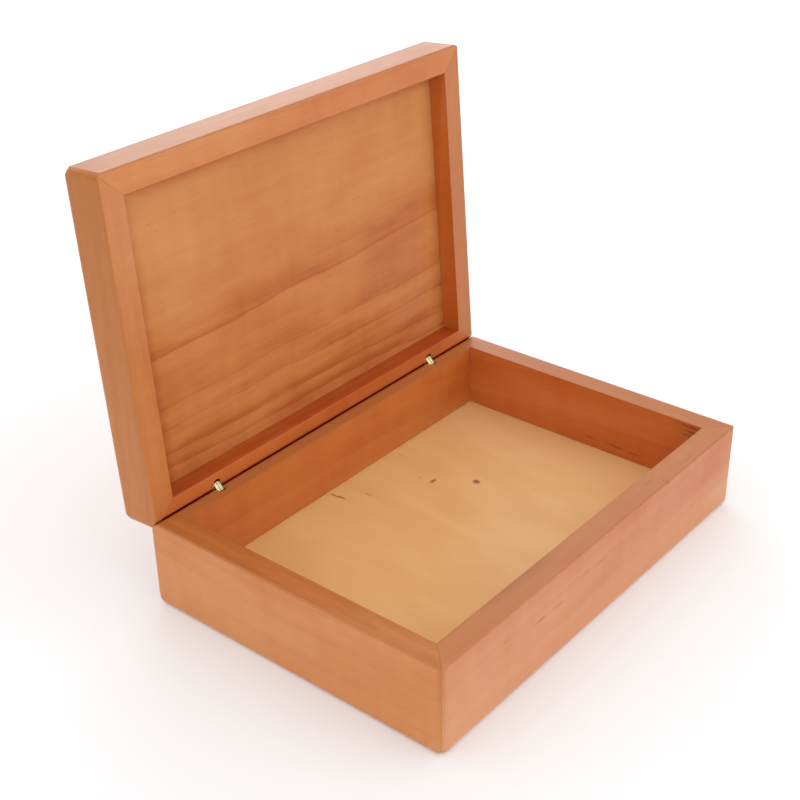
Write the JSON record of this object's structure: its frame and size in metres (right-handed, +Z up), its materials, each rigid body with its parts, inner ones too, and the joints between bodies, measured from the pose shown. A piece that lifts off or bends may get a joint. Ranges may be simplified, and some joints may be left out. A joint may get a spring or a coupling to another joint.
{
  "type": "hinged wooden keepsake box",
  "caption": "Rectangular wooden keepsake box with mitred walls, a plywood floor and a lid that opens past upright on concealed brass barrel hinges.",
  "frame": {"origin": "on the table under the hinges' base barrels, midway along the box", "axes": "+X along the hinge line to the viewer's right, +Y to the back, +Z up"},
  "size_m": [0.3, 0.2484, 0.2622],
  "materials": {
    "cherry": "satin lacquer",
    "birch_ply": "satin lacquer",
    "brass": "turned",
    "pin_steel": "drawn"
  },
  "bodies": {
    "base": {"base_front_wall": "cherry", "base_back_wall": "cherry", "base_left_wall": "cherry", "base_right_wall": "cherry", "base_floor": "birch_ply", "left_hinge_base_barrel": "brass", "left_hinge_base_pin": "pin_steel", "right_hinge_base_barrel": "brass", "right_hinge_base_pin": "pin_steel"},
    "links": {"left_hinge_leaf_1": "brass", "left_hinge_leaf_2": "brass", "left_hinge_leaf_3": "brass", "right_hinge_leaf_1": "brass", "right_hinge_leaf_2": "brass", "right_hinge_leaf_3": "brass"},
    "lid": {"lid_front_wall": "cherry", "lid_back_wall": "cherry", "lid_left_wall": "cherry", "lid_right_wall": "cherry", "lid_panel": "cherry", "left_hinge_lid_barrel": "brass", "left_hinge_lid_pin": "pin_steel", "right_hinge_lid_barrel": "brass", "right_hinge_lid_pin": "pin_steel"}
  },
  "joints": [
    {"name": "link_pivot", "type": "hinge", "parent": "base", "child": "links", "pos_m": [0, 0, 0.055], "axis": [-1, 0, 0], "range_deg": [-47, 0]},
    {"name": "lid_pivot", "type": "hinge", "parent": "links", "child": "lid", "pos_m": [0, 0.00322, 0.058], "axis": [-1, 0, 0], "range_deg": [-47, 0]}
  ],
  "couplings": [
    {"joint": "link_pivot", "follows": "lid_pivot", "ratio": 1}
  ]
}
